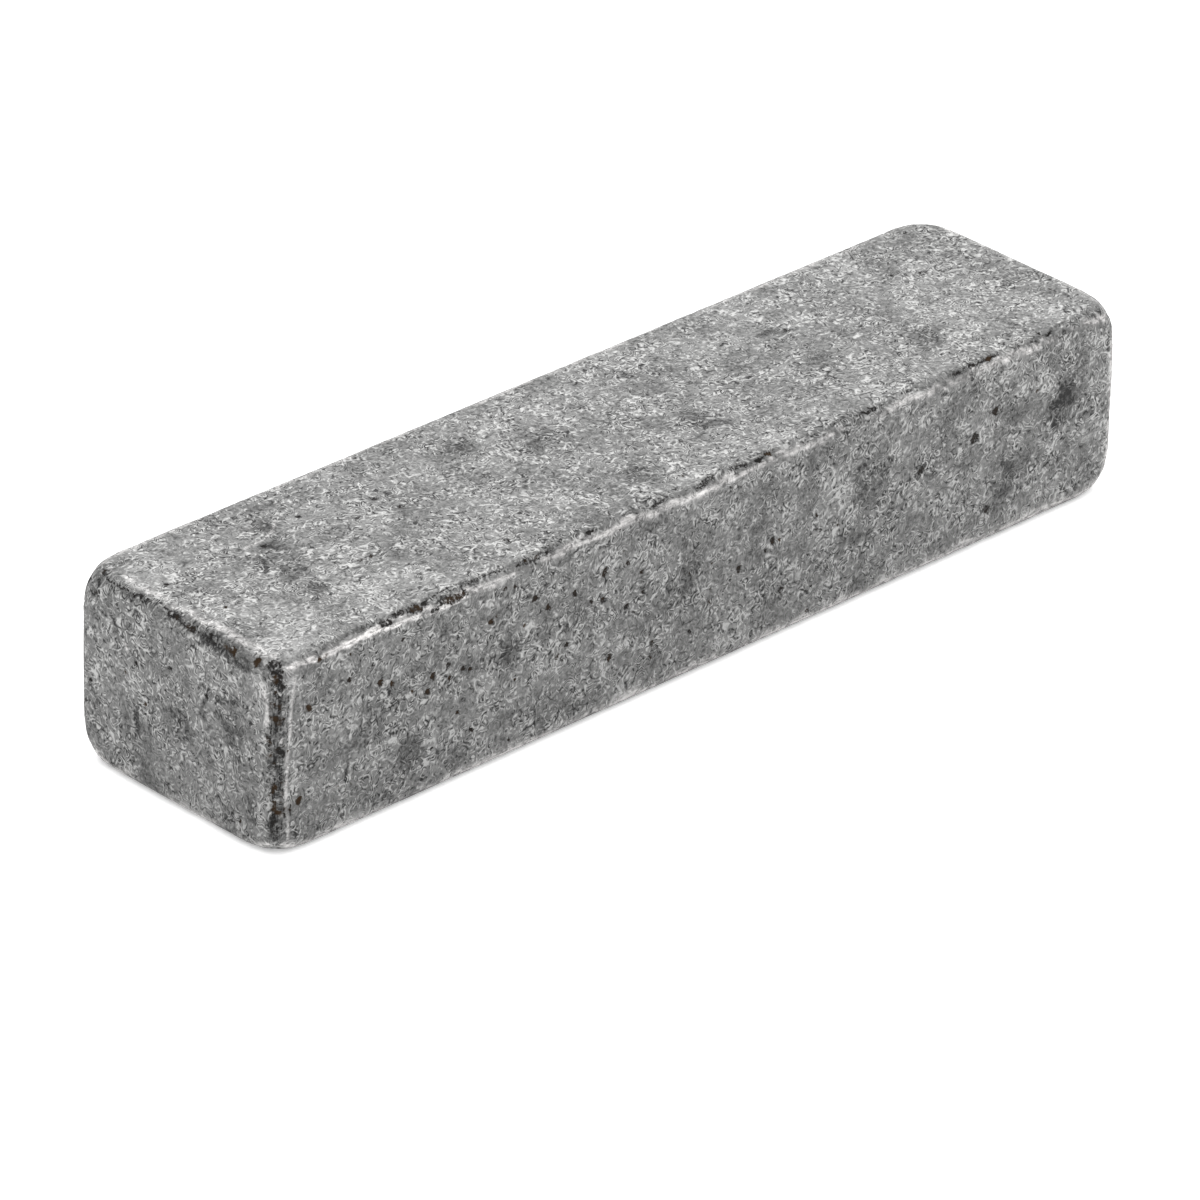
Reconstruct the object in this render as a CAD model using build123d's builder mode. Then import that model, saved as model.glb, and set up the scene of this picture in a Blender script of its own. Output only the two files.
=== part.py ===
from build123d import *
from math import copysign, sqrt
import os

# Parallel key with square ends, cut from drawn key steel and tumbled.
# Sizes are in millimetres. The section is one of the inch series of rectangular keys.
# X runs along the key, Y across its width and Z up.
# The origin is the middle of the bottom face, the one that lies in the shaft's keyway.

# Driving dimensions
key_width = 6.35  # 1/4 inch, between the two side faces that carry the load
key_height = 4.7625  # 3/16 inch, from the shaft's keyway floor to the face under the hub
key_length = 26.0  # between the two square ends
edge_radius = 0.32  # rounding of the twelve straight edges
corner_cut = 0.72  # how far tumbling has worn a corner back along each of its edges

# A worn corner is a three-sided flat that leans equally to the three faces round it.
# Its sides are then blended into those faces, so that only a small flat stays in the middle
# and the corner comes out nearly spherical.
blend_share = 0.85  # part of the flat that the blends take up, measured from side to middle
flat_inradius = corner_cut / sqrt(6)
lean_cosine = 1 / sqrt(3)  # of the angle between the flat and each face
half_turn_tangent = sqrt((1 - lean_cosine) / (1 + lean_cosine))
corner_blend = blend_share * flat_inradius / half_turn_tangent

with BuildPart() as parallel_key:
    # The drawn bar's section, run out to both ends
    with BuildSketch(Plane.YZ):
        Rectangle(key_width, key_height, align=(Align.CENTER, Align.MIN))
    extrude(amount=key_length / 2, both=True)

    # The eight corners, worn back to flats
    middle = Vector(0, 0, key_height / 2)
    for corner in parallel_key.vertices():
        outward = Vector(*(copysign(1, reach) for reach in Vector(corner) - middle))
        wear_start = Vector(corner) - Vector(outward.X * corner_cut, 0, 0)
        split(bisect_by=Plane(origin=wear_start, z_dir=outward), keep=Keep.BOTTOM)

    # The flats' sides first, and then the straight edges that run into them
    flats = parallel_key.faces().filter_by(lambda face: len(face.edges()) == 3)
    fillet(flats.edges(), corner_blend)
    edges = parallel_key.edges()
    fillet(edges.filter_by(Axis.X) + edges.filter_by(Axis.Y) + edges.filter_by(Axis.Z), edge_radius)

parallel_key.part.label = "parallel_key"

os.makedirs("parts", exist_ok=True)
export_step(parallel_key.part, "parts/parallel_key.step")
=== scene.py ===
import math
import random
from collections import namedtuple

import bmesh
import bpy
from bpy.props import (
    FloatProperty,
    FloatVectorProperty,
    IntProperty,
    PointerProperty,
)
from mathutils import Euler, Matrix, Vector, noise
from mathutils.bvhtree import BVHTree
from mathutils.kdtree import KDTree


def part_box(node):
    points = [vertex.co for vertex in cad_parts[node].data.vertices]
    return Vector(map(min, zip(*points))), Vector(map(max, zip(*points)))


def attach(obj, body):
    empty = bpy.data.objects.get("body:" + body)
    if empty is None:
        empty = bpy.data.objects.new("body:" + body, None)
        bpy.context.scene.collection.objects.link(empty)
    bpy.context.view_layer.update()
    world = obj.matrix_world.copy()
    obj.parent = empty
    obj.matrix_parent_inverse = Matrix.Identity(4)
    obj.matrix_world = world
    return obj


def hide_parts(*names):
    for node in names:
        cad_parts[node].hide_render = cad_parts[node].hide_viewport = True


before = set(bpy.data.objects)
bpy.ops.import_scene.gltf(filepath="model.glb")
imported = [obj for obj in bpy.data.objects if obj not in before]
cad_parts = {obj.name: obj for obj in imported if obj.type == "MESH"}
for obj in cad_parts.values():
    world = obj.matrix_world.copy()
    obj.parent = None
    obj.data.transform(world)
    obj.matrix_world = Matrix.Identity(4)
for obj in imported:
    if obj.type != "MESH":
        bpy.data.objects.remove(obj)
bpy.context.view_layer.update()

bl_info = {
    "name": "Tumbled Parallel Key",
    "version": (1, 0, 0),
    "blender": (4, 5, 0),
    "location": "View3D > Sidebar > Parallel Key",
    "description": "A tumbled steel parallel key with torn, rusty edges on a pale floor",
    "category": "Add Mesh",
}

MM = 0.001
NODE = "parallel_key"
KEY_LOW, KEY_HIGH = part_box(NODE)
KEY_MIDDLE = (KEY_LOW + KEY_HIGH) / 2
KEY_HALF = (KEY_HIGH - KEY_LOW) / 2

# The top, near side and near end faces, in millimetres from the middle of the bottom face.
TOP = KEY_HIGH.z / MM
SIDE = KEY_LOW.y / MM
END = KEY_LOW.x / MM

# Single pits on the steel, as (x, y, z, radius, darkness, rust), in millimetres.
MARKS = (
    # top face
    (-9.48, 1.07, TOP, 0.08, 1.0, 0.2),
    (-10.3, 1.36, TOP, 0.06, 0.8, 0.0),
    (-12.2, 1.17, TOP, 0.09, 0.9, 0.1),
    (-11.95, -0.43, TOP, 0.09, 0.8, 0.5),
    (-8.36, -0.78, TOP, 0.10, 0.6, 0.3),
    (-6.2, 1.1, TOP, 0.12, 0.7, 0.1),
    (-7.1, 0.7, TOP, 0.09, 0.5, 0.0),
    (-6.05, 0.45, TOP, 0.10, 0.6, 0.2),
    (-8.0, 1.6, TOP, 0.10, 0.7, 0.0),
    (-5.4, -2.3, TOP, 0.14, 0.6, 0.1),
    (-3.6, 0.3, TOP, 0.16, 0.5, 0.0),
    (6.3, 0.9, TOP, 0.12, 0.5, 0.0),
    (10.7, 0.9, TOP, 0.16, 0.5, 0.0),
    # end face
    (END, 0.16, 3.4, 0.08, 0.7, 0.0),
    (END, 0.3, 2.8, 0.09, 0.5, 0.0),
    (END, 2.6, 4.25, 0.13, 0.6, 0.2),
    (END, -1.0, 3.2, 0.09, 0.7, 0.0),
    # long side face
    (-12.0, SIDE, 3.45, 0.11, 1.0, 1.0),
    (-12.3, SIDE, 1.3, 0.11, 1.0, 1.0),
    (-9.95, SIDE, 3.3, 0.1, 1.0, 0.6),
    (-9.6, SIDE, 3.15, 0.09, 0.9, 0.8),
    (-8.4, SIDE, 2.9, 0.11, 0.9, 0.5),
    (-7.5, SIDE, 2.75, 0.08, 1.0, 0.4),
    (-7.3, SIDE, 2.65, 0.08, 1.0, 0.4),
    (-10.85, SIDE, 3.7, 0.08, 0.9, 0.3),
    (-9.3, SIDE, 4.12, 0.07, 0.8, 0.3),
    (-8.55, SIDE, 2.57, 0.1, 1.0, 0.5),
    (-7.95, SIDE, 3.0, 0.08, 0.9, 0.3),
    (-7.9, SIDE, 2.66, 0.08, 0.9, 0.5),
    (-7.25, SIDE, 1.15, 0.09, 0.9, 0.2),
    (-6.3, SIDE, 4.27, 0.08, 0.7, 0.4),
    (-6.0, SIDE, 4.23, 0.07, 0.8, 0.4),
    (-5.55, SIDE, 1.65, 0.06, 0.8, 0.2),
    (-4.7, SIDE, 2.0, 0.12, 0.6, 0.4),
    (-4.42, SIDE, 2.2, 0.09, 0.9, 0.3),
    (-3.7, SIDE, 3.02, 0.09, 0.8, 0.3),
    (-3.3, SIDE, 3.62, 0.08, 0.8, 0.2),
    (-3.1, SIDE, 1.4, 0.11, 0.9, 0.5),
    (-1.8, SIDE, 1.3, 0.10, 0.8, 0.3),
    (-1.85, SIDE, 0.98, 0.09, 0.6, 0.3),
    (-6.7, SIDE, 3.6, 0.1, 0.8, 0.7),
    (-5.4, SIDE, 3.7, 0.11, 0.9, 0.4),
    (-5.0, SIDE, 3.35, 0.1, 0.9, 0.6),
    (-4.2, SIDE, 3.4, 0.11, 0.8, 0.3),
    (-3.3, SIDE, 3.6, 0.12, 0.9, 0.4),
    (-3.35, SIDE, 2.95, 0.09, 0.8, 0.4),
    (-2.6, SIDE, 2.5, 0.1, 0.9, 0.2),
    (-2.6, SIDE, 3.6, 0.1, 0.8, 0.4),
    (0.85, SIDE, 2.2, 0.12, 0.8, 0.3),
    (1.9, SIDE, 2.55, 0.12, 0.8, 0.3),
    (2.2, SIDE, 1.2, 0.12, 0.8, 0.2),
    (3.3, SIDE, 2.7, 0.12, 0.7, 0.3),
    (6.6, SIDE, 2.65, 0.15, 0.8, 0.2),
    (8.3, SIDE, 2.9, 0.18, 0.8, 0.2),
    (8.95, SIDE, 3.35, 0.15, 0.8, 0.3),
    (8.8, SIDE, 0.9, 0.15, 0.7, 0.2),
    # rounded edges
    (-11.7, SIDE, 4.51, 0.11, 0.6, 0.6),
    (-11.5, SIDE, 4.56, 0.09, 0.5, 0.5),
    (-12.96, SIDE, 3.47, 0.08, 0.8, 0.8),
    (-12.73, SIDE, 3.44, 0.06, 0.7, 0.6),
    (-12.94, SIDE, 4.12, 0.06, 0.7, 0.6),
    (END, -3.16, 2.37, 0.05, 0.7, 0.6),
    (-12.69, SIDE, 1.87, 0.06, 0.8, 0.2),
    (END, -3.17, 1.42, 0.06, 0.8, 0.7),
    (-12.55, SIDE, 1.17, 0.05, 0.8, 0.5),
    (END, -3.04, 0.68, 0.05, 0.7, 0.5),
    (END, 0.05, TOP, 0.10, 0.8, 0.4),
    (END, -0.5, 4.65, 0.11, 1.0, 0.4),
    (END, -1.8, 4.65, 0.14, 0.9, 0.8),
    (END, -2.5, 4.7, 0.14, 0.9, 0.9),
)

# Soft dull patches where the steel is smoother, as (x, y, z, radius, darkness). Those with a
# negative darkness are a painted sheen on the top near the near corner, brighter than the
# steel round them.
DULL_AND_SHEEN_PATCHES = (
    (-8.95, 1.75, TOP, 0.4, 0.5),
    (-9.3, 0.95, TOP, 0.4, 0.5),
    (-9.95, 0.6, TOP, 0.35, 0.4),
    (-9.8, -0.1, TOP, 0.4, 0.5),
    (-9.9, -1.1, TOP, 0.4, 0.5),
    # painted sheen: the patches with a negative darkness
    (-12.4, -2.4, TOP, 1.0, -0.3),
    (-11.2, -2.6, TOP, 0.9, -0.2),
    (-11.9, -0.6, TOP, 1.0, -0.2),
    (-12.4, 1.6, TOP, 0.9, -0.15),
    (-9.4, -2.4, TOP, 0.9, -0.2),
    (-8.2, -2.1, TOP, 0.8, -0.2),
    (-3.1, 1.8, TOP, 0.6, 0.4),
    (-1.45, 0.4, TOP, 0.7, 0.4),
    (-1.1, -2.1, TOP, 0.5, 0.4),
    (1.8, -1.1, TOP, 0.6, 0.5),
    (6.0, -0.6, TOP, 0.7, 0.2),
    (8.4, -1.5, TOP, 0.6, 0.4),
    (10.2, 1.7, TOP, 0.6, 0.3),
    (END, -0.2, 2.2, 0.4, 0.4),
    (END, -1.9, 2.6, 0.4, 0.5),
    (END, -2.4, 1.2, 0.3, 0.5),
    (-10.3, SIDE, 2.2, 0.6, 0.4),
    (-8.9, SIDE, 1.3, 0.5, 0.4),
    (-6.2, SIDE, 2.6, 0.5, 0.4),
    (-1.0, SIDE, 2.4, 0.7, 0.4),
    (5.0, SIDE, 3.0, 0.8, 0.4),
    (9.3, SIDE, 1.5, 0.6, 0.3),
    (10.95, SIDE, 2.65, 0.45, 0.75),
    (11.3, SIDE, 3.05, 0.45, 0.75),
)

# How a rounded edge is worn, and where its painted highlight lies. A line's place runs from
# -1 at the rounding's border on one face to 1 on the other, and the first face is the one
# that comes first in X, Y, Z.
EdgeFinish = namedtuple(
    "EdgeFinish",
    (
        "soot_at",  # place of the torn, sooty line
        "lean",  # how far that line leans over from end to end
        "soot_width",
        "darkness",
        "cover",  # share of the edge's length that the sooty line covers
        "rub_at",  # place of the rubbed line, which is partly wear and partly a painted highlight
        "rub_width",
        "rub_shine",
    ),
)
X_AXIS, Y_AXIS, Z_AXIS = 0, 1, 2
# By the axis that the edge runs along and the signs of its two faces.
EDGE_WEAR = {
    (Z_AXIS, -1, -1): EdgeFinish(0.1, 0.0, 0.75, 0.2, 0.95, 1.0, 0.09, 0.1),
    (X_AXIS, -1, 1): EdgeFinish(0.15, 0.1, 0.25, 0.8, 0.35, -0.4, 0.3, 0.6),
    (Y_AXIS, -1, 1): EdgeFinish(-0.1, 0.4, 0.3, 0.8, 0.45, 0.9, 0.35, 0.4),
    (X_AXIS, -1, -1): EdgeFinish(0.0, 0.0, 0.4, 0.3, 0.0, -0.4, 0.5, 0.5),
    (Y_AXIS, -1, -1): EdgeFinish(0.0, 0.0, 0.4, 0.3, 0.0, -0.4, 0.5, 0.5),
}
OTHER_WEAR = EdgeFinish(-0.2, 0.2, 0.35, 0.7, 0.45, 0.6, 0.3, 0.38)

# Lines drawn over the steel, as (layer, radius, strength, points), in millimetres. A rubbed
# line is bright, partly wear and partly a painted highlight; a dull one is soft and grey, and
# the one under the edge between the top and the near end is painted shade; soot or rust fills
# a torn place of an edge.
LINES = (
    ("rubbed", 0.03, 0.35, ((-9.9, 1.25, TOP), (-9.35, 1.27, TOP), (-8.9, 1.45, TOP))),
    ("rubbed", 0.03, 0.3, ((-8.9, 1.45, TOP), (-8.5, 1.8, TOP))),
    ("dull", 0.09, 0.5, ((END, -0.9, 3.4), (END, -1.4, 3.25), (END, -2.0, 3.42))),
    ("dull", 0.13, 0.6, ((END, -1.0, 3.2), (END, -0.87, 2.65))),
    ("dull", 0.09, 0.55, ((END, -1.35, 2.98), (END, -1.57, 2.77), (END, -2.0, 2.5))),
    ("dull", 0.09, 0.6, ((END, 1.25, 1.85), (END, 1.2, 1.5), (END, 1.3, 1.2))),
    ("dull", 0.08, 0.5, ((END, 1.95, 3.75), (END, 1.85, 3.4))),
    ("rubbed", 0.03, 0.4, ((END, 1.6, 3.4), (END, 1.5, 3.2))),
    ("rubbed", 0.03, 0.5, ((END, -2.0, 3.75), (END, -2.05, 3.6))),
    ("dull", 0.13, 0.5, ((5.6, 1.1, TOP), (6.0, 1.05, TOP), (6.4, 0.8, TOP))),
    ("dull", 0.13, 0.45, ((5.7, -0.4, TOP), (6.3, -0.75, TOP))),
    # the edge between the top and the long side; its rubbed lines are partly wear and partly
    # a painted highlight
    ("rubbed", 0.08, 0.8, ((-12.54, -3.1, 4.57), (-12.2, -3.1, 4.58), (-11.8, SIDE, 4.56))),
    ("rubbed", 0.07, 0.6, ((-11.6, SIDE, 4.55), (-11.1, SIDE, 4.58))),
    ("rubbed", 0.09, 1.0, ((-11.0, SIDE, 4.58), (-10.3, SIDE, 4.6), (-9.95, SIDE, 4.62))),
    ("rubbed", 0.06, 0.8, ((-9.8, SIDE, 4.55), (-9.2, SIDE, 4.55), (-8.8, SIDE, 4.52))),
    ("rubbed", 0.05, 0.6, ((-8.6, SIDE, 4.47), (-8.0, SIDE, 4.45), (-7.4, SIDE, 4.5))),
    ("rubbed", 0.05, 0.5, ((-7.0, SIDE, 4.55), (-6.0, SIDE, 4.55))),
    ("rubbed", 0.06, 0.5, ((-5.2, SIDE, 4.6), (-3.4, SIDE, 4.55), (-2.2, SIDE, 4.6))),
    ("rubbed", 0.06, 0.5, ((-1.4, SIDE, 4.55), (0.4, SIDE, 4.55), (1.6, SIDE, 4.6))),
    ("soot", 0.1, 0.7, ((-9.8, SIDE, 4.69), (-9.6, SIDE, 4.7))),
    ("soot", 0.09, 0.7, ((-9.45, -3.09, TOP), (-9.2, -3.09, TOP))),
    ("soot", 0.14, 0.65, ((-9.0, -3.12, TOP), (-8.5, -3.12, TOP))),
    ("rust", 0.09, 0.6, ((-8.95, -3.14, TOP), (-8.7, -3.14, TOP))),
    ("soot", 0.1, 0.6, ((-8.45, SIDE, 4.48), (-8.25, SIDE, 4.5))),
    ("soot", 0.15, 0.65, ((-8.1, SIDE, 4.6), (-7.4, SIDE, 4.58))),
    ("rust", 0.1, 0.55, ((-8.0, SIDE, 4.6), (-7.5, SIDE, 4.58))),
    ("soot", 0.035, 0.45, ((-8.4, -3.0, TOP), (-7.7, -2.95, TOP), (-7.2, -3.0, TOP))),
    ("soot", 0.045, 0.5, ((-7.5, -3.1, TOP), (-6.9, -3.05, TOP), (-6.3, -3.12, TOP))),
    ("soot", 0.045, 0.5, ((-5.9, SIDE, 4.7), (-5.5, SIDE, 4.68), (-5.2, SIDE, 4.66))),
    ("soot", 0.06, 0.6, ((-1.8, SIDE, TOP), (-1.4, -3.1, TOP))),
    ("soot", 0.06, 0.6, ((-0.3, -3.1, TOP), (0.2, -3.05, TOP))),
    ("soot", 0.05, 0.45, ((4.6, -3.1, TOP), (5.4, -3.1, TOP))),
    ("soot", 0.05, 0.45, ((8.2, -3.1, TOP), (9.1, -3.1, TOP))),
    # the near upright edge; its rubbed lines are partly wear and partly a painted highlight
    ("dull", 0.2, 0.32, ((-12.8, -3.05, 4.5), (-12.78, -3.1, 2.6), (-12.8, -3.1, 0.5))),
    ("soot", 0.13, 0.7, ((-12.79, -2.87, 4.68), (-12.65, -3.0, 4.66))),
    ("soot", 0.13, 0.6, ((-12.8, -2.97, 4.59), (-12.67, -3.1, 4.5))),
    ("rust", 0.08, 0.7, ((-12.85, -3.05, 4.45), (-12.85, -3.05, 4.3))),
    ("soot", 0.1, 0.5, ((-12.8, -3.1, 4.35), (-12.65, SIDE, 4.15))),
    ("soot", 0.05, 0.5, ((-12.9, -3.0, 4.15), (-12.8, -3.1, 3.95), (-12.8, -3.1, 3.6))),
    ("soot", 0.03, 0.5, ((-12.57, SIDE, 4.2), (-12.63, SIDE, 3.5), (-12.63, SIDE, 2.6))),
    ("soot", 0.03, 0.5, ((-12.69, SIDE, 2.1), (-12.72, SIDE, 1.4), (-12.66, SIDE, 0.6))),
    ("rust", 0.08, 0.6, ((-12.9, -3.0, 3.5), (-12.8, -3.1, 3.35))),
    ("soot", 0.04, 0.5, ((-12.9, -3.0, 3.3), (-12.94, -2.95, 2.8), (-12.9, -3.0, 2.6))),
    ("soot", 0.11, 0.8, ((-12.82, -3.08, 2.75), (-12.74, -3.12, 2.6))),
    ("rubbed", 0.06, 0.5, ((-12.76, -3.11, 2.97), (-12.78, -3.1, 2.86))),
    ("soot", 0.04, 0.5, ((-12.9, -3.0, 1.85), (-12.87, -3.04, 1.3), (-12.9, -3.0, 0.6))),
    ("rust", 0.07, 0.6, ((-12.87, -3.04, 1.45), (-12.87, -3.04, 1.2))),
    ("soot", 0.03, 0.7, ((-12.54, SIDE, 1.3), (-12.52, SIDE, 1.0))),
    ("rubbed", 0.08, 0.3, ((END, -2.7, 4.2), (-12.95, -2.93, 3.75), (-12.97, -2.9, 3.3))),
    ("rubbed", 0.05, 0.28, ((-12.42, SIDE, 4.3), (-12.51, SIDE, 3.8), (-12.55, SIDE, 3.2))),
    ("rubbed", 0.05, 0.32, ((-12.55, SIDE, 3.2), (-12.63, SIDE, 2.3), (-12.67, SIDE, 1.4))),
    ("rubbed", 0.05, 0.25, ((-12.67, SIDE, 1.4), (-12.6, SIDE, 0.9), (-12.57, SIDE, 0.4))),
    # the edge between the top and the near end
    ("soot", 0.05, 0.55, ((END, 2.3, TOP), (END, 1.6, TOP))),
    ("soot", 0.05, 0.6, ((-12.9, 0.5, TOP), (-12.92, 0.1, TOP))),
    ("soot", 0.05, 0.45, ((END, 0.3, 4.7), (END, -0.6, 4.66), (END, -1.3, 4.6))),
    ("rust", 0.06, 0.55, ((END, -1.5, 4.66), (END, -1.95, 4.62))),
    # painted shade on the rounding under this edge
    ("dull", 0.13, 0.6, ((END, -0.9, 4.55), (END, -1.6, 4.5), (END, -2.3, 4.35))),
)

# The values that each vertex carries for the material, besides the streaks' place.
LAYERS = ("soot", "rust", "rubbed", "dull", "torn")
LONG_SIDE = 0.1 * MM  # a cell's side longer than this is cut beside edges and marks
CORNER_REACH = 1.0 * MM  # how far from its corner a place may lie and still be smoothed
CORE_INSET = 0.9 * MM  # how deep under the faces the core lies that the rays start from

# The soft lights, as (name, place, size, name of the setting that holds the power).
SOFTBOXES = (
    ("softbox_back", (0.28, 0.30, 0.30), 0.35, "softbox_power"),
    ("softbox_overhead", (0.0, -0.05, 0.4), 0.8, "overhead_power"),
)
WHITE = (1.0, 1.0, 1.0, 1.0)


class ParallelKeyShape(bpy.types.PropertyGroup):
    """Sizes of the key's worn surface."""

    face_step: FloatProperty(
        name="Face step",
        description="Spacing of the mesh rows on the open faces",
        default=0.17 * MM,
        min=0.05 * MM,
        precision=5,
        unit="LENGTH",
    )
    edge_step: FloatProperty(
        name="Edge step",
        description="Spacing of the mesh rows beside the edges",
        default=0.036 * MM,
        min=0.01 * MM,
        precision=5,
        unit="LENGTH",
    )
    edge_band: FloatProperty(
        name="Edge band",
        description="Width of the close rows beside each edge",
        default=0.54 * MM,
        precision=5,
        unit="LENGTH",
    )
    rounding: FloatProperty(
        name="Rounding",
        description="Width of the worn rounding, measured on either face",
        default=0.32 * MM,
        precision=5,
        unit="LENGTH",
    )
    groove_depth: FloatProperty(
        name="Groove depth",
        description="Depth of the torn grooves that run along the edges",
        default=0.022 * MM,
        precision=5,
        unit="LENGTH",
    )
    chip_depth: FloatProperty(
        name="Chip depth",
        description="Depth of the small chips broken out of the edges",
        default=0.035 * MM,
        precision=5,
        unit="LENGTH",
    )
    corner_passes: IntProperty(
        name="Corner passes",
        description="How often the corners are smoothed",
        default=60,
        min=0,
    )
    corner_wear: FloatProperty(
        name="Corner wear",
        description="How much further the corners are worn than the CAD solid",
        default=0.01 * MM,
        precision=5,
        unit="LENGTH",
    )
    dent_depth: FloatProperty(
        name="Dent depth",
        description="Depth of the shallow dents that tumbling leaves on the faces",
        default=0.008 * MM,
        precision=5,
        unit="LENGTH",
    )
    pit_depth: FloatProperty(
        name="Pit depth",
        description="Depth of the corrosion pits",
        default=0.04 * MM,
        precision=5,
        unit="LENGTH",
    )
    pits: IntProperty(
        name="Pits",
        description="Number of small pits strewn over the key besides the placed ones",
        default=140,
        min=0,
    )
    seed: IntProperty(
        name="Seed",
        description="Start of the random draws for pits and wear",
        default=7,
    )


class ParallelKeyFinish(bpy.types.PropertyGroup):
    """Colours of the steel, its dirt, its rust and the bright steel of its rubbed edges and
    painted highlights.
    """

    light_steel: FloatVectorProperty(
        name="Light steel",
        description="Rubbed strokes of the tumbled steel",
        subtype="COLOR",
        default=(0.355, 0.355, 0.35),
        min=0.0,
        max=1.0,
    )
    dark_steel: FloatVectorProperty(
        name="Dark steel",
        description="Dull steel between the strokes",
        subtype="COLOR",
        default=(0.03, 0.03, 0.03),
        min=0.0,
        max=1.0,
    )
    # near-white steel for the rubbed lines, partly wear and partly a painted highlight
    rubbed_and_highlight_steel: FloatVectorProperty(
        name="Rubbed steel and highlight",
        description="Bright steel where an edge is rubbed, and painted highlight along the edges",
        subtype="COLOR",
        default=(0.82, 0.8, 0.79),
        min=0.0,
        max=1.0,
    )
    soot: FloatVectorProperty(
        name="Soot",
        description="Black scale in grooves and pits",
        subtype="COLOR",
        default=(0.02, 0.019, 0.018),
        min=0.0,
        max=1.0,
    )
    rust: FloatVectorProperty(
        name="Rust",
        description="Brown rust in pits",
        subtype="COLOR",
        default=(0.04, 0.024, 0.012),
        min=0.0,
        max=1.0,
    )


class ParallelKeyStage(bpy.types.PropertyGroup):
    """Floor, light and camera."""

    floor_colour: FloatVectorProperty(
        name="Floor colour",
        description="Colour of the plain floor",
        subtype="COLOR",
        default=(0.9, 0.9, 0.9),
        min=0.0,
        max=1.0,
    )
    floor_glow: FloatProperty(
        name="Floor glow",
        description="Light that the floor gives off itself, as a light table does",
        default=0.32,
        min=0.0,
    )
    floor_radius: FloatProperty(
        name="Floor radius",
        description="Radius of the round floor",
        default=2.0,
        unit="LENGTH",
    )
    sky_strength: FloatProperty(
        name="Sky strength",
        description="Strength of the even light all round",
        default=0.815,
        min=0.0,
    )
    softbox_power: FloatProperty(
        name="Softbox power",
        description="Power of the large soft light above and behind the key",
        default=0.82,
        min=0.0,
        unit="POWER",
    )
    overhead_power: FloatProperty(
        name="Overhead power",
        description="Power of the wide soft light straight above the key",
        default=2.62,
        min=0.0,
        unit="POWER",
    )
    camera_place: FloatVectorProperty(
        name="Camera place",
        description="Where the camera stands",
        subtype="TRANSLATION",
        default=(-0.1296, -0.13156, 0.10024),
        precision=5,
    )
    camera_turn: FloatVectorProperty(
        name="Camera turn",
        description="How the camera is turned",
        subtype="EULER",
        default=tuple(math.radians(a) for a in (61.607, -1.166, -43.869)),
    )
    lens: FloatProperty(
        name="Lens",
        description="Focal length on a 36 mm wide sensor",
        default=281.6,
        subtype="DISTANCE_CAMERA",
    )


def smooth_share(value, low, high):
    """0 below low and 1 above high, with an eased run between."""
    share = min(1.0, max(0.0, (value - low) / (high - low)))
    return share * share * (3.0 - 2.0 * share)


def row_count(size, shape):
    """Rows in the close band at one side, and rows in the open middle."""
    band = round(shape.edge_band / shape.edge_step)
    middle = max(1, round((size - 2 * band * shape.edge_step) / shape.face_step))
    return band, middle


def row_place(share, size, shape):
    """Turns an even row position from -0.5 to 0.5 into one with close rows at both sides."""
    band, middle = row_count(size, shape)
    rows = 2 * band + middle
    row = (share + 0.5) * rows
    band_width = band * shape.edge_step
    if row <= band:
        return row * shape.edge_step - size / 2
    if row >= band + middle:
        return size / 2 - (rows - row) * shape.edge_step
    return (row - band) / middle * (size - 2 * band_width) + band_width - size / 2


def rows_block(shape):
    """A block as large as the key's box, ruled into rows that are close beside its edges."""
    block = bmesh.new()
    bmesh.ops.create_cube(block, size=1.0)
    size = KEY_HALF * 2
    for axis in range(3):
        band, middle = row_count(size[axis], shape)
        runs = [
            e
            for e in block.edges
            if abs(e.verts[0].co[axis] - e.verts[1].co[axis]) > 0.5
        ]
        bmesh.ops.subdivide_edges(
            block, edges=runs, cuts=2 * band + middle - 1, use_grid_fill=True
        )
    for v in block.verts:
        v.co = Vector(row_place(v.co[i], size[i], shape) for i in range(3))
    return block


def round_corners(block, passes):
    """Rubs the shoulders of the eight corners round."""
    near = [v for v in block.verts if max(edge_gaps(v.co)) < CORNER_REACH]
    for _ in range(passes):
        bmesh.ops.smooth_vert(
            block,
            verts=near,
            factor=0.5,
            use_axis_x=True,
            use_axis_y=True,
            use_axis_z=True,
        )


def edge_gaps(place):
    """How far a place, measured from the box's middle, lies from its three nearest faces."""
    return [KEY_HALF[i] - abs(place[i]) for i in range(3)]


def near_edge(place):
    """Distance from the nearest edge, measured on the face."""
    return sorted(edge_gaps(place))[1]


def refine_edges(block, shape):
    """Cuts the long cells on the rounded edges into short ones."""
    long_cells = [
        e
        for e in block.edges
        if e.calc_length() > LONG_SIDE
        and near_edge((e.verts[0].co + e.verts[1].co) / 2) < shape.rounding * 1.15
    ]
    bmesh.ops.subdivide_edges(block, edges=long_cells, cuts=2, use_grid_fill=True)


def strewn_pits(shape, draw):
    """Small pits at random places, more of them on the long sides."""
    pits = []
    size = KEY_HALF * 2
    for _ in range(shape.pits):
        face = draw.choice((1, 1, 1, 2, 2, 0))
        side = draw.choice((-1.0, 1.0))
        place = Vector(draw.uniform(-0.5, 0.5) * size[i] for i in range(3))
        place[face] = side * KEY_HALF[face]
        radius = draw.uniform(0.035, 0.08) * MM
        pits.append(
            (place, radius, draw.uniform(0.5, 1.0), max(0.0, draw.uniform(-0.3, 0.9)))
        )
    return pits


def on_steel(steel, place):
    """The CAD solid's place nearest to one in mm, measured from the box's middle."""
    return steel.find_nearest(place * MM)[0] - KEY_MIDDLE


def placed_pits(steel):
    """The marks of the list, moved onto the CAD solid."""
    return [
        (on_steel(steel, Vector((x, y, z))), radius * MM, dark, rust)
        for x, y, z, radius, dark, rust in MARKS
    ]


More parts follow.
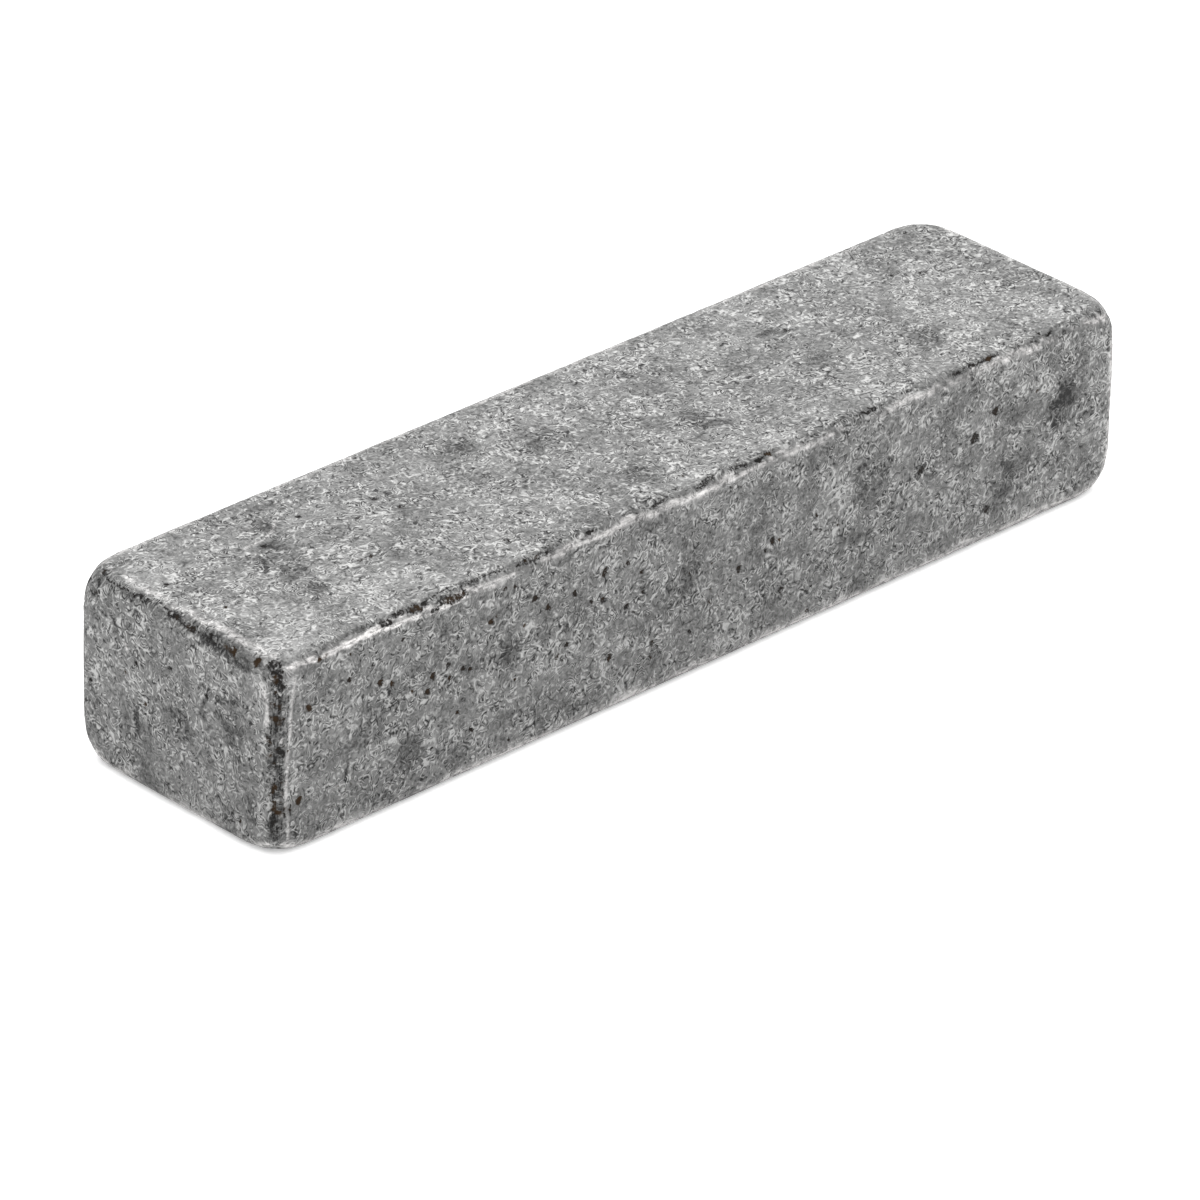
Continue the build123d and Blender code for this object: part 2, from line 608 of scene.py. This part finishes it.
def line_marks(steel):
    """The drawn lines as rows of close marks on the CAD solid."""
    marks = []
    for name, radius, strength, points in LINES:
        for first, last in zip(points, points[1:]):
            first, last = Vector(first), Vector(last)
            steps = math.ceil((last - first).length / (0.4 * radius))
            for step in range(steps):
                place = on_steel(steel, first.lerp(last, step / steps))
                marks.append((name, place, radius * MM, strength))
    return marks


def refine_marks(block, marks):
    """Cuts the open faces' cells round each pit and line."""
    cells = list(block.faces)
    tree = KDTree(len(cells))
    for i, cell in enumerate(cells):
        tree.insert(cell.calc_center_median(), i)
    tree.balance()
    block.edges.index_update()
    chosen = set()
    for place, radius in marks:
        for _, i, _ in tree.find_range(place, radius + LONG_SIDE):
            chosen.update(e for e in cells[i].edges if e.calc_length() > LONG_SIDE)
    bmesh.ops.subdivide_edges(
        block,
        edges=sorted(chosen, key=lambda e: e.index),
        cuts=3,
        use_grid_fill=True,
    )


def fan_cells(block):
    """Cuts each cell of more than four sides into a fan, so that it holds no sliver."""
    bmesh.ops.poke(block, faces=[f for f in block.faces if len(f.verts) > 4])


def cad_tree():
    """The CAD solid's faces, for finding its surface."""
    return BVHTree.FromObject(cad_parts[NODE], bpy.context.evaluated_depsgraph_get())


def fit_to_cad(block, steel):
    """Draws the block in onto the CAD solid and returns each vertex's outward direction."""
    outward = []
    core_half = [half - CORE_INSET for half in KEY_HALF]
    for v in block.verts:
        core = Vector(max(-half, min(half, v.co[i])) for i, half in enumerate(core_half))
        way = (v.co - core).normalized()
        hit = steel.ray_cast(core + KEY_MIDDLE, way)[0]
        if hit is None:
            raise RuntimeError("the block does not reach the CAD solid")
        v.co = hit - KEY_MIDDLE
        outward.append(way)
    return outward


class EdgeSpot:
    """Where a place lies beside its nearest edge, in millimetres."""

    def __init__(self, co):
        self.place = co / MM
        self.gaps = [g / MM for g in edge_gaps(co)]
        self.run = max(range(3), key=lambda i: self.gaps[i])
        a, b = (i for i in range(3) if i != self.run)
        self.along = self.place[self.run]
        self.across = self.gaps[a] - self.gaps[b]
        self.away = max(self.gaps[a], self.gaps[b])
        signs = [int(math.copysign(1, self.place[i])) for i in (a, b)]
        self.sides = (self.run, *signs)
        # keeps the noises of the twelve edges apart
        self.shift = self.run * 5.3 + signs[0] * 1.7 + signs[1] * 3.1

    def noise_along(self, rate, layer):
        """A noise that runs along the edge. Each layer is a noise of its own."""
        return noise.noise(Vector((self.along * rate, self.shift, layer)))

    def noise_lane(self, rate, cross_rate, layer):
        """A noise drawn out along the edge, so that it makes grooves."""
        lane = Vector((self.along * rate, self.across * cross_rate, self.shift + layer))
        return noise.noise(lane)


EdgeWear = namedtuple("EdgeWear", "groove chip soot rust rubbed torn")
NO_EDGE_WEAR = EdgeWear(0.0, 0.0, 0.0, 0.0, 0.0, 0.0)


def edge_wear(spot, shape):
    """Depths in mm of the groove and chip at a place beside an edge, and its finish, with the
    rubbed line's painted highlight.
    """
    rounding = shape.rounding / MM
    if spot.away >= rounding * 1.6:
        return NO_EDGE_WEAR
    finish = EDGE_WEAR.get(spot.sides, OTHER_WEAR)
    wander = 0.05 * spot.noise_along(0.9, 3.0)
    on_edge = 1.0 - smooth_share(spot.away + wander, rounding * 0.85, rounding * 1.2)
    line = (
        spot.across / rounding
        + 0.4 * spot.noise_along(1.3, 15.0)
        + 0.4 * spot.noise_along(5.0, 25.0)
    )
    crumble = noise.noise(spot.place * 7.0)
    crumb = smooth_share(crumble, 0.05, 0.4)

    # the rubbed line, partly wear and partly a painted highlight, fades in and out
    fade = 0.55 + 0.9 * spot.noise_along(0.6, 9.0)
    rub_and_highlight_line = math.exp(-(((line - finish.rub_at) / finish.rub_width) ** 2))
    rubbed = finish.rub_shine * rub_and_highlight_line * smooth_share(fade + 0.5 * crumble, 0.0, 0.7)

    # the sooty line is torn open in places, with broad and fine grooves in it
    soot_at = finish.soot_at + finish.lean * spot.along / (KEY_HALF[spot.run] / MM)
    black = math.exp(-(((line - soot_at) / finish.soot_width) ** 2))
    patch = smooth_share(spot.noise_along(1.6, 21.0) + finish.cover - 0.5, -0.15, 0.25)
    torn = on_edge * black * patch
    groove = smooth_share(spot.noise_lane(1.1, 9.0, 0.0), 0.0, 0.45)
    groove = max(groove, 0.7 * smooth_share(spot.noise_lane(3.2, 17.0, 4.0), 0.1, 0.5))
    rusty = smooth_share(noise.noise(spot.place * 1.4 + Vector((9, 9, 9))), 0.0, 0.35)
    return EdgeWear(
        groove=on_edge * (0.3 + 0.7 * black) * groove * shape.groove_depth / MM,
        chip=torn * crumb * shape.chip_depth / MM,
        soot=torn * min(1.0, finish.darkness * (0.1 + 0.35 * groove + crumb)),
        rust=torn * crumb * rusty,
        rubbed=rubbed,
        torn=torn,
    )


def dent_sink(spot, shape):
    """Depth in mm of the dents on the faces and of the extra wear at the corners."""
    broad = smooth_share(noise.noise(spot.place * 0.9), -0.5, 0.7)
    small = smooth_share(noise.noise(spot.place * 2.3 + Vector((5, 1, 2))), -0.3, 0.6)
    corner = 1.0 - smooth_share(max(spot.gaps), 0.2, 0.8)
    sink = (shape.dent_depth / MM) * (0.6 * broad + 0.4 * small)
    return sink + corner * shape.corner_wear / MM


def ragged(co, place, radius, amount, rate):
    """A factor round 1 that makes the rim of a round spot ragged."""
    return 1.0 + amount * noise.noise((co - place) / radius * rate + place / MM)


class WornSurface:
    """The block's vertices, each with its depth and its finish."""

    def __init__(self, block):
        floats = block.verts.layers.float
        self.layers = {name: floats.new(name) for name in LAYERS}
        self.streak = block.verts.layers.float_vector.new("streak")
        self.verts = list(block.verts)
        self.depth = [0.0] * len(self.verts)
        self.tree = KDTree(len(self.verts))
        for i, v in enumerate(self.verts):
            self.tree.insert(v.co, i)
        self.tree.balance()

    def raise_to(self, name, v, value):
        """Raises a vertex's value in one layer, where it is lower."""
        layer = self.layers[name]
        v[layer] = max(v[layer], value)

    def deepen_to(self, i, depth):
        """Deepens a vertex, where it is less deep."""
        self.depth[i] = max(self.depth[i], depth)

    def wear_all_over(self, shape):
        """Dents the faces, tears and rubs the edges, and lays the painted highlight along
        them.
        """
        for i, v in enumerate(self.verts):
            spot = EdgeSpot(v.co)
            wear = edge_wear(spot, shape)
            self.depth[i] = (dent_sink(spot, shape) + wear.groove + wear.chip) * MM
            for name in ("soot", "rust", "rubbed", "torn"):
                v[self.layers[name]] = getattr(wear, name)
            v[self.streak] = (spot.along * 0.22 + spot.shift, spot.across, 0.4 * spot.shift)

    def add_pits(self, pits, shape):
        """Sinks each pit, darkens it and lets it rust."""
        for place, radius, dark, rust in pits:
            for co, i, distance in self.tree.find_range(place, radius * 1.8):
                rim = radius * ragged(co, place, radius, 0.5, 1.3)
                share = 1.0 - smooth_share(distance / rim, 0.35, 1.15)
                self.deepen_to(i, share * dark * shape.pit_depth)
                self.raise_to("soot", self.verts[i], share * dark)
                self.raise_to("rust", self.verts[i], share * rust)

    def add_dull_and_sheen_patches(self):
        """Makes the listed patches duller, or brighter with a painted sheen."""
        dull = self.layers["dull"]
        for x, y, z, radius, dark in DULL_AND_SHEEN_PATCHES:
            place = Vector((x, y, z)) * MM - KEY_MIDDLE
            radius *= MM
            for co, i, distance in self.tree.find_range(place, radius * 1.5):
                rim = radius * ragged(co, place, radius, 0.6, 1.6)
                self.verts[i][dull] += dark * (1.0 - smooth_share(distance / rim, 0.4, 1.1))

    def add_lines(self, lines, shape):
        """Draws the lines. A rubbed one, partly wear and partly a painted highlight, wipes
        soot off, and soot and rust lie deeper.
        """
        soot = self.layers["soot"]
        for name, place, radius, strength in lines:
            for co, i, distance in self.tree.find_range(place, radius * 1.8):
                v = self.verts[i]
                rim = radius * (1.0 + 0.8 * noise.noise(co / MM * 3.5))
                share = 1.0 - smooth_share(distance / rim, 0.4, 1.2)
                self.raise_to(name, v, share * strength)
                if name == "rubbed":
                    v[soot] *= 1.0 - 0.8 * share
                elif name != "dull":
                    self.deepen_to(i, share * strength * shape.chip_depth)

    def sink(self, outward):
        """Moves each vertex inwards by its depth."""
        for v, way, depth in zip(self.verts, outward, self.depth):
            v.co -= way * depth


def tumbled_key(shape):
    """The key as a closed mesh, worn inwards from the CAD solid."""
    block = rows_block(shape)
    refine_edges(block, shape)
    steel = cad_tree()
    pits = placed_pits(steel) + strewn_pits(shape, random.Random(shape.seed))
    lines = line_marks(steel)
    refine_marks(block, [p[:2] for p in pits] + [m[1:3] for m in lines])
    fan_cells(block)
    outward = fit_to_cad(block, steel)
    round_corners(block, shape.corner_passes)
    surface = WornSurface(block)
    surface.wear_all_over(shape)
    surface.add_pits(pits, shape)
    surface.add_dull_and_sheen_patches()
    surface.add_lines(lines, shape)
    surface.sink(outward)
    bmesh.ops.translate(block, verts=block.verts, vec=KEY_MIDDLE)
    bmesh.ops.recalc_face_normals(block, faces=block.faces)
    for f in block.faces:
        f.smooth = True
    mesh = bpy.data.meshes.new("tumbled_key")
    block.to_mesh(mesh)
    block.free()
    return mesh


class NodeBench:
    """Short calls for wiring a material."""

    def __init__(self, name):
        self.material = bpy.data.materials.new(name)
        self.material.use_nodes = True
        self.tree = self.material.node_tree
        self.shader = self.tree.nodes["Principled BSDF"]

    def add(self, kind, settings=(), **inputs):
        node = self.tree.nodes.new(kind)
        for key, value in dict(settings).items():
            setattr(node, key, value)
        for key, value in inputs.items():
            self.set(node.inputs[key.replace("_", " ")], value)
        return node

    def set(self, socket, value):
        if isinstance(value, bpy.types.NodeSocket):
            self.tree.links.new(value, socket)
        else:
            socket.default_value = value

    def shade(self, name, value):
        """Gives the shader one of its values."""
        self.set(self.shader.inputs[name], value)

    def math(self, operation, first, second=0.0, clamp=False):
        node = self.add("ShaderNodeMath", {"operation": operation, "use_clamp": clamp})
        self.set(node.inputs[0], first)
        self.set(node.inputs[1], second)
        return node.outputs[0]

    def times(self, first, second, clamp=False):
        return self.math("MULTIPLY", first, second, clamp)

    def weigh(self, *pairs):
        """The sum of the values, each times its weight."""
        parts = [v if weight == 1.0 else self.times(v, weight) for v, weight in pairs]
        total = parts[0]
        for part in parts[1:]:
            total = self.math("ADD", total, part)
        return total

    def spread(self, value, low, high, out_low=0.0, out_high=1.0):
        """Maps low to high onto another range, and holds its ends beyond them."""
        node = self.add("ShaderNodeMapRange")
        for i, item in enumerate((value, low, high, out_low, out_high)):
            self.set(node.inputs[i], item)
        return node.outputs[0]

    def blend(self, share, first, second):
        """Mixes two colours."""
        node = self.add("ShaderNodeMix", {"data_type": "RGBA"})
        self.set(node.inputs[0], share)
        self.set(node.inputs[6], first)
        self.set(node.inputs[7], second)
        return node.outputs[2]

    def stored(self, name, output="Fac"):
        """A value that the mesh carries."""
        return self.add("ShaderNodeAttribute", {"attribute_name": name}).outputs[output]

    def cloud(self, place, scale, detail, roughness, distortion=0.0):
        """A noise, as its node."""
        return self.add(
            "ShaderNodeTexNoise",
            {"noise_dimensions": "3D"},
            Vector=place,
            Scale=scale,
            Detail=detail,
            Roughness=roughness,
            Distortion=distortion,
        )

    def curls(self, place, scale, turns, shift):
        """Curly strokes, light ones less dark ones: broken level lines of a soft noise."""
        moved = self.add("ShaderNodeVectorMath", {"operation": "ADD"})
        self.set(moved.inputs[0], place)
        self.set(moved.inputs[1], (shift, shift * 0.7, shift * 1.3))
        cloud = self.cloud(moved.outputs[0], scale, detail=1.0, roughness=0.6)
        parts = self.add("ShaderNodeSeparateColor", Color=cloud.outputs[1])
        level, light_breaks, dark_breaks = (
            self.math("SINE", self.times(part, rate))
            for part, rate in zip(parts.outputs, (turns, turns * 0.5, turns * 0.5))
        )
        light = self.times(
            self.spread(level, 0.3, 1.0), self.spread(light_breaks, -0.3, 0.5)
        )
        dark = self.times(self.spread(level, -0.4, -1.0), self.spread(dark_breaks, 0.0, 0.7))
        return self.weigh((light, 1.0), (dark, -0.65))


def key_steel(finish):
    """Tumbled steel: matted strokes, dull patches, sooty grooves and rusty pits, with painted
    highlights on the edges, a painted sheen near the near corner and painted shade under one
    edge.
    """
    bench = NodeBench("key_steel_tumbled")
    texture = bench.add("ShaderNodeTexCoord")
    in_mm = bench.add("ShaderNodeMapping", Vector=texture.outputs["Object"])
    bench.set(in_mm.inputs["Scale"], (1 / MM, 1 / MM, 1 / MM))
    place = in_mm.outputs[0]

    # noises, and what the mesh carries
    mottle = bench.cloud(place, scale=0.9, detail=5.0, roughness=0.8).outputs[0]
    grit = bench.cloud(place, 9.0, 2.0, 0.7, distortion=0.6).outputs[0]
    specks = bench.cloud(place, scale=15.0, detail=2.0, roughness=0.7).outputs[0]
    speck_shift = bench.spread(specks, 0.3, 0.7, -1.0, 1.0)
    streak_place = bench.stored("streak", "Vector")
    streaks = bench.cloud(streak_place, scale=11.0, detail=4.0, roughness=0.75).outputs[0]
    torn = bench.stored("torn")
    dull = bench.weigh((bench.stored("dull"), 1.0), (torn, 0.25))

    # strokes lie denser in some places, and hardly at all in the dull ones and the painted
    # shade
    strokes = bench.weigh(
        (bench.curls(place, scale=3.4, turns=52.0, shift=3.1), 0.55),
        (bench.curls(place, scale=2.2, turns=42.0, shift=7.7), 0.45),
    )
    crowds = bench.cloud(place, scale=1.8, detail=3.0, roughness=0.6).outputs[0]
    busy = bench.times(
        bench.spread(crowds, 0.38, 0.62, 0.32, 1.22), bench.spread(dull, 0.0, 1.0, 1.0, 0.3)
    )
    strokes = bench.times(strokes, busy)

    # steel, with the painted shade and sheen of the dull layer in its tone
    streaky = bench.times(torn, bench.spread(streaks, 0.3, 0.7, -0.45, 0.45))
    tone = bench.weigh(
        (strokes, 1.4), (mottle, 1.3), (grit, 0.9), (dull, -0.55), (streaky, 1.0)
    )
    lightness = bench.spread(tone, 0.6, 1.85)
    steel = bench.blend(lightness, (*finish.dark_steel, 1.0), (*finish.light_steel, 1.0))
    # the rubbed layer as bright steel: partly rubbed wear and partly a painted highlight
    # along the edges
    rubbed = bench.times(bench.stored("rubbed"), bench.spread(streaks, 0.38, 0.6, 0.35, 1.15))
    rubbed = bench.times(rubbed, bench.spread(grit, 0.36, 0.52, 0.45, 1.2), clamp=True)
    steel = bench.blend(rubbed, steel, (*finish.rubbed_and_highlight_steel, 1.0))

    # soot and rust
    torn_dark = bench.times(torn, bench.spread(streaks, 0.62, 0.42))
    soot = bench.weigh((bench.stored("soot"), 1.0), (torn_dark, 0.35), (speck_shift, 0.4))
    soot = bench.spread(soot, 0.3, 0.7)
    rust = bench.weigh((bench.stored("rust"), 1.0), (speck_shift, 0.3))
    rust = bench.spread(rust, 0.2, 0.8)
    colour = bench.blend(soot, steel, (*finish.soot, 1.0))
    colour = bench.blend(rust, colour, (*finish.rust, 1.0))
    bench.shade("Base Color", colour)

    dirty = bench.math("MAXIMUM", soot, rust)
    bench.shade("Metallic", bench.spread(dirty, 0.0, 1.0, 1.0, 0.8))
    roughness = bench.spread(lightness, 0.0, 1.0, 0.62, 0.42)
    roughness = bench.math("ADD", roughness, bench.times(dirty, 0.25), clamp=True)
    bench.shade("Roughness", roughness)

    relief = bench.weigh(
        (strokes, 0.6), (grit, 1.0), (dirty, -0.8), (bench.times(torn, streaks), 1.5)
    )
    bump = bench.add("ShaderNodeBump", Strength=0.8, Distance=0.012 * MM, Height=relief)
    bench.shade("Normal", bump.outputs[0])
    return bench.material


class PARALLEL_KEY_OT_add_key(bpy.types.Operator):
    """Adds the tumbled key in place of the CAD solid"""

    bl_idname = "parallel_key.add_key"
    bl_label = "Add Tumbled Key"
    bl_options = {"REGISTER", "UNDO"}

    def execute(self, context):
        scene = context.scene
        key = bpy.data.objects.new("tumbled_key", tumbled_key(scene.parallel_key_shape))
        key.data.materials.append(key_steel(scene.parallel_key_finish))
        scene.collection.objects.link(key)
        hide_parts(NODE)
        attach(key, "root")
        return {"FINISHED"}


def add_floor(stage, collection):
    """A plain round floor under the key."""
    disc = bmesh.new()
    bmesh.ops.create_circle(disc, cap_ends=True, segments=96, radius=stage.floor_radius)
    mesh = bpy.data.meshes.new("studio_floor")
    disc.to_mesh(mesh)
    disc.free()
    bench = NodeBench("floor_paper")
    bench.shade("Base Color", (*stage.floor_colour, 1.0))
    bench.shade("Roughness", 0.9)
    bench.shade("Emission Color", WHITE)
    bench.shade("Emission Strength", stage.floor_glow)
    bench.shade("Specular IOR Level", 0.2)
    mesh.materials.append(bench.material)
    floor = bpy.data.objects.new("studio_floor", mesh)
    collection.objects.link(floor)


def add_sky(stage, scene):
    """Even pale light all round."""
    world = bpy.data.worlds.new("studio_sky")
    world.use_nodes = True
    background = world.node_tree.nodes["Background"]
    background.inputs["Color"].default_value = WHITE
    background.inputs["Strength"].default_value = stage.sky_strength
    scene.world = world


def add_softbox(name, collection, place, size, power):
    """A square soft light that faces the key."""
    light = bpy.data.lights.new(name, "AREA")
    light.shape = "SQUARE"
    light.size = size
    light.energy = power
    lamp = bpy.data.objects.new(name, light)
    lamp.location = place
    lamp.rotation_euler = (KEY_MIDDLE - Vector(place)).to_track_quat("-Z", "Y").to_euler()
    collection.objects.link(lamp)


class PARALLEL_KEY_OT_add_stage(bpy.types.Operator):
    """Adds the floor, the soft studio light and the camera"""

    bl_idname = "parallel_key.add_stage"
    bl_label = "Add Stage"
    bl_options = {"REGISTER", "UNDO"}

    def execute(self, context):
        scene = context.scene
        stage = scene.parallel_key_stage
        add_floor(stage, scene.collection)
        add_sky(stage, scene)
        for name, place, size, power in SOFTBOXES:
            add_softbox(name, scene.collection, place, size, getattr(stage, power))
        camera = bpy.data.objects.new("camera", bpy.data.cameras.new("camera"))
        camera.data.sensor_width = 36.0
        camera.data.lens = stage.lens
        camera.data.clip_start = 0.01
        camera.data.clip_end = 10.0
        camera.location = stage.camera_place
        camera.rotation_euler = Euler(stage.camera_turn)
        scene.collection.objects.link(camera)
        scene.camera = camera
        scene.view_settings.view_transform = "Standard"
        return {"FINISHED"}


class PARALLEL_KEY_PT_panel(bpy.types.Panel):
    """Lists the key's and the stage's settings"""

    bl_idname = "PARALLEL_KEY_PT_panel"
    bl_label = "Parallel Key"
    bl_space_type = "VIEW_3D"
    bl_region_type = "UI"
    bl_category = "Parallel Key"

    def draw(self, context):
        scene = context.scene
        for label, settings, operator in (
            ("Shape", scene.parallel_key_shape, None),
            ("Finish", scene.parallel_key_finish, PARALLEL_KEY_OT_add_key),
            ("Stage", scene.parallel_key_stage, PARALLEL_KEY_OT_add_stage),
        ):
            box = self.layout.box()
            box.label(text=label)
            for name in settings.__annotations__:
                box.prop(settings, name)
            if operator:
                box.operator(operator.bl_idname)


CLASSES = (
    ParallelKeyShape,
    ParallelKeyFinish,
    ParallelKeyStage,
    PARALLEL_KEY_OT_add_key,
    PARALLEL_KEY_OT_add_stage,
    PARALLEL_KEY_PT_panel,
)


def register():
    for cls in CLASSES:
        bpy.utils.register_class(cls)
    bpy.types.Scene.parallel_key_shape = PointerProperty(type=ParallelKeyShape)
    bpy.types.Scene.parallel_key_finish = PointerProperty(type=ParallelKeyFinish)
    bpy.types.Scene.parallel_key_stage = PointerProperty(type=ParallelKeyStage)


def unregister():
    del bpy.types.Scene.parallel_key_stage
    del bpy.types.Scene.parallel_key_finish
    del bpy.types.Scene.parallel_key_shape
    for cls in reversed(CLASSES):
        bpy.utils.unregister_class(cls)


def main():
    register()
    bpy.ops.parallel_key.add_stage()
    bpy.ops.parallel_key.add_key()


if __name__ == "__main__":
    main()
